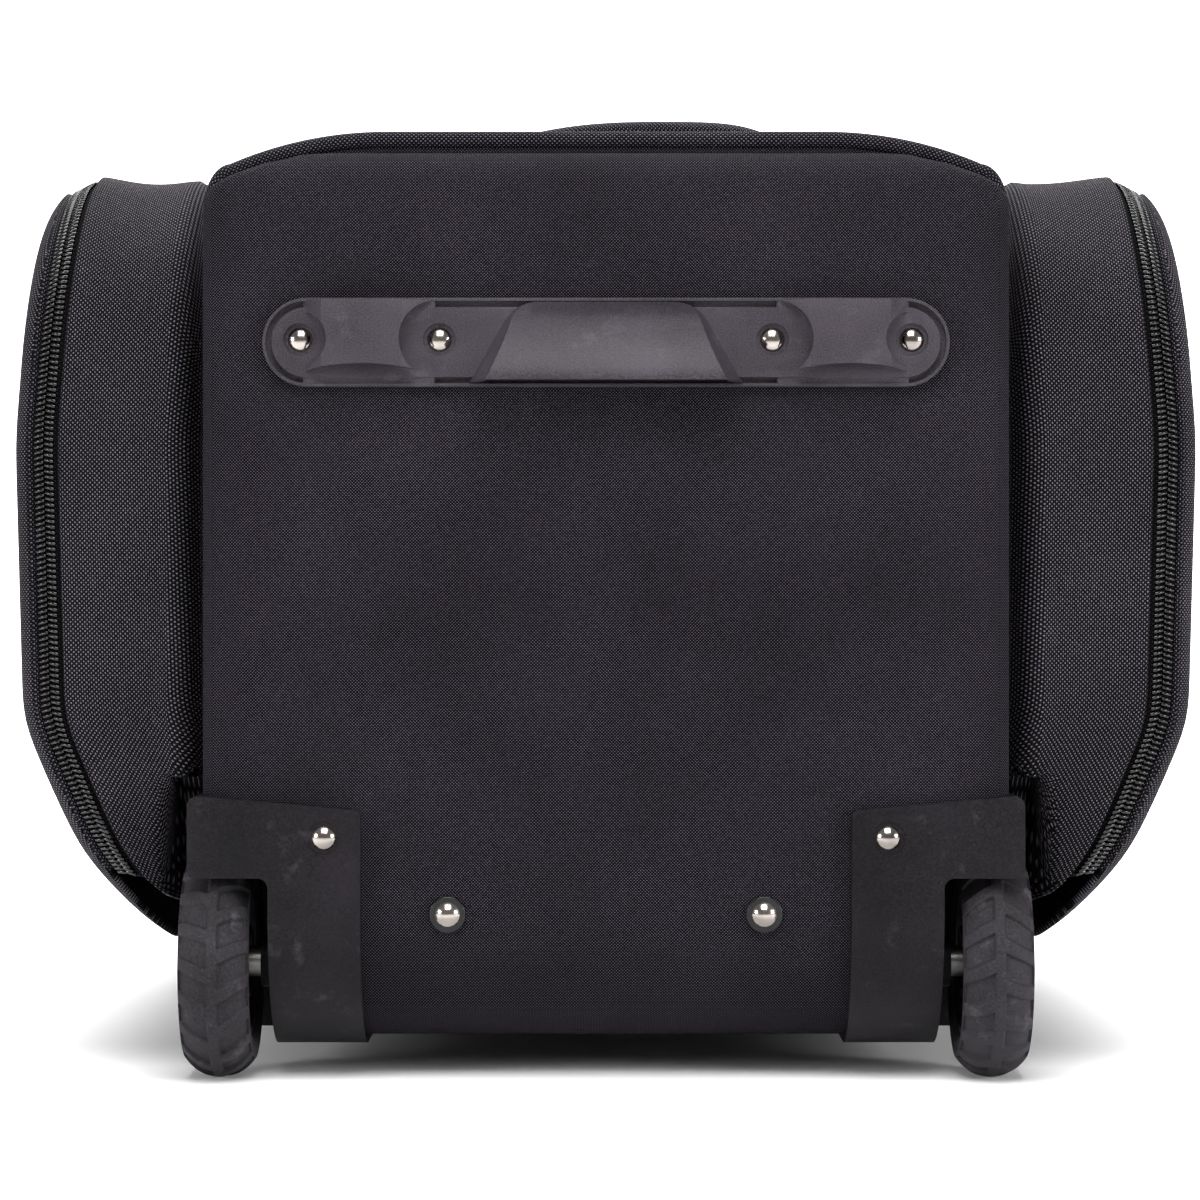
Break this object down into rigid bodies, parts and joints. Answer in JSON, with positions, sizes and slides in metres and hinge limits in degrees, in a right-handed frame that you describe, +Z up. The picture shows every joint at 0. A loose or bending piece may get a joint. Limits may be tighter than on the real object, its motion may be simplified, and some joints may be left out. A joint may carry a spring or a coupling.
{
  "type": "rolling bowling bag",
  "caption": "Black padded ball bag on treaded corner wheels with shoe pockets, a moulded lift grip and a telescopic handle.",
  "frame": {"origin": "on the floor at the middle of the bounding box", "axes": "+Z up, +Y from the wheel end to the pull-handle end, +X across the bag"},
  "size_m": [0.4618, 0.62, 0.4045],
  "materials": {
    "panel_fabric": "fine black polyester weave over moulded foam",
    "pocket_fabric": "coarse black 1680 denier ballistic weave",
    "piping_fabric": "corded piping in coarse black weave",
    "lining_fabric": "charcoal polyester lining on foam",
    "webbing": "black woven webbing",
    "zip_tape": "black herringbone zip tape with nylon coil",
    "moulded_trim": "fine-grained charcoal moulding",
    "housing_plastic": "dark fine-grained moulding",
    "wheel_plastic": "black moulded nylon",
    "tyre_rubber": "dark grey rubber",
    "bright_rivet": "polished nickel",
    "black_metal": "black enamelled metal",
    "zinc_steel": "zinc-plated steel",
    "tube_aluminium": "satin dark anodised aluminium",
    "board_plastic": "fluted polypropylene"
  },
  "bodies": {
    "case": {"axle_nuts": "zinc_steel", "axle_spacers": "zinc_steel", "ball_divider": "lining_fabric", "base_panel": "panel_fabric", "bezel_screws": "black_metal", "cross_bearers": "housing_plastic", "dome_rivets": "bright_rivet", "end_piping": "piping_fabric", "floor_board": "board_plastic", "foot_screws": "zinc_steel", "front_ball_cup": "lining_fabric", "front_feet": "housing_plastic", "front_panel": "panel_fabric", "handle_bezel": "housing_plastic", "left_axle_bolt": "zinc_steel", "left_pocket_gusset": "pocket_fabric", "left_pocket_zip_gusset_half": "zip_tape", "left_side_wall": "panel_fabric", "left_wheel_housing": "housing_plastic", "lid_zip_frame_half": "zip_tape", "lift_grip": "moulded_trim", "outer_tubes": "tube_aluminium", "rear_ball_cup": "lining_fabric", "rear_panel": "panel_fabric", "right_axle_bolt": "zinc_steel", "right_pocket_gusset": "pocket_fabric", "right_pocket_zip_gusset_half": "zip_tape", "right_side_wall": "panel_fabric", "right_wheel_housing": "housing_plastic", "rivet_washers": "black_metal", "skid_rails": "housing_plastic", "top_frame": "panel_fabric", "tube_bracket": "black_metal"},
    "lid": {"main_lid": "panel_fabric", "lid_zip_lid_half": "zip_tape", "carry_strap": "webbing", "carry_grip": "pocket_fabric"},
    "lid_slide_rear": {"lid_slider_rear": "black_metal"},
    "lid_tab_rear": {"lid_pull_rear": "black_metal"},
    "lid_slide_front": {"lid_slider_front": "black_metal"},
    "lid_tab_front": {"lid_pull_front": "black_metal"},
    "handle_middle_stage": {"middle_tubes": "tube_aluminium"},
    "handle_grip_stage": {"inner_tubes": "tube_aluminium", "pull_grip": "moulded_trim"},
    "handle_button": {"grip_button": "housing_plastic"},
    "right_wheel": {"right_tyre": "tyre_rubber", "right_wheel_rim": "wheel_plastic", "right_wheel_bearings": "zinc_steel"},
    "right_pocket_door": {"right_pocket_cover": "pocket_fabric", "right_pocket_zip_cover_half": "zip_tape"},
    "right_pocket_slide": {"right_pocket_slider": "black_metal"},
    "right_pocket_tab": {"right_pocket_pull": "black_metal"},
    "left_wheel": {"left_tyre": "tyre_rubber", "left_wheel_rim": "wheel_plastic", "left_wheel_bearings": "zinc_steel"},
    "left_pocket_door": {"left_pocket_cover": "pocket_fabric", "left_pocket_zip_cover_half": "zip_tape"},
    "left_pocket_slide": {"left_pocket_slider": "black_metal"},
    "left_pocket_tab": {"left_pocket_pull": "black_metal"}
  },
  "joints": [
    {"name": "lid_hinge", "type": "hinge", "parent": "case", "child": "lid", "pos_m": [0.128, 0, 0.3581], "axis": [0, 1, 0], "range_deg": [0, 110]},
    {"name": "handle_middle_slide", "type": "slide", "parent": "case", "child": "handle_middle_stage", "axis": [0, 1, 0], "range_m": [0, 0.25]},
    {"name": "handle_grip_slide", "type": "slide", "parent": "handle_middle_stage", "child": "handle_grip_stage", "axis": [0, 1, 0], "range_m": [0, 0.25]},
    {"name": "handle_button_press", "type": "slide", "parent": "handle_grip_stage", "child": "handle_button", "axis": [0, -1, 0], "range_m": [0, 0.003], "stiffness_N_per_m": 300},
    {"name": "lid_zip_rear_slide", "type": "slide", "parent": "lid", "child": "lid_slide_rear", "axis": [0, 1, 0], "range_m": [-0.15, 0]},
    {"name": "lid_zip_rear_tab", "type": "hinge", "parent": "lid_slide_rear", "child": "lid_tab_rear", "pos_m": [-0.12378, -0.012, 0.36242], "axis": [-0.9691, 0, -0.2467], "range_deg": [0, 160]},
    {"name": "lid_zip_front_slide", "type": "slide", "parent": "lid", "child": "lid_slide_front", "axis": [0, 1, 0], "range_m": [0, 0.15]},
    {"name": "lid_zip_front_tab", "type": "hinge", "parent": "lid_slide_front", "child": "lid_tab_front", "pos_m": [-0.12378, 0.012, 0.36242], "axis": [0.9691, 0, 0.2467], "range_deg": [0, 160]},
    {"name": "right_wheel_spin", "type": "hinge", "parent": "case", "child": "right_wheel", "pos_m": [0.151, -0.251, 0.045], "axis": [1, 0, 0], "continuous": true},
    {"name": "right_pocket_hinge", "type": "hinge", "parent": "case", "child": "right_pocket_door", "pos_m": [0.16, 0, 0.046], "axis": [0, 1, 0], "range_deg": [0, 70]},
    {"name": "right_pocket_zip_slide", "type": "slide", "parent": "right_pocket_door", "child": "right_pocket_slide", "axis": [0, 1, 0], "range_m": [-0.21, 0.08]},
    {"name": "right_pocket_zip_tab", "type": "hinge", "parent": "right_pocket_slide", "child": "right_pocket_tab", "pos_m": [0.211, 0.06, 0.36135], "axis": [1, 0, 0], "range_deg": [0, 160]},
    {"name": "left_wheel_spin", "type": "hinge", "parent": "case", "child": "left_wheel", "pos_m": [-0.151, -0.251, 0.045], "axis": [1, 0, 0], "continuous": true},
    {"name": "left_pocket_hinge", "type": "hinge", "parent": "case", "child": "left_pocket_door", "pos_m": [-0.16, 0, 0.046], "axis": [0, -1, 0], "range_deg": [0, 70]},
    {"name": "left_pocket_zip_slide", "type": "slide", "parent": "left_pocket_door", "child": "left_pocket_slide", "axis": [0, 1, 0], "range_m": [-0.21, 0.08]},
    {"name": "left_pocket_zip_tab", "type": "hinge", "parent": "left_pocket_slide", "child": "left_pocket_tab", "pos_m": [-0.211, 0.06, 0.36135], "axis": [1, 0, 0], "range_deg": [0, 160]}
  ]
}
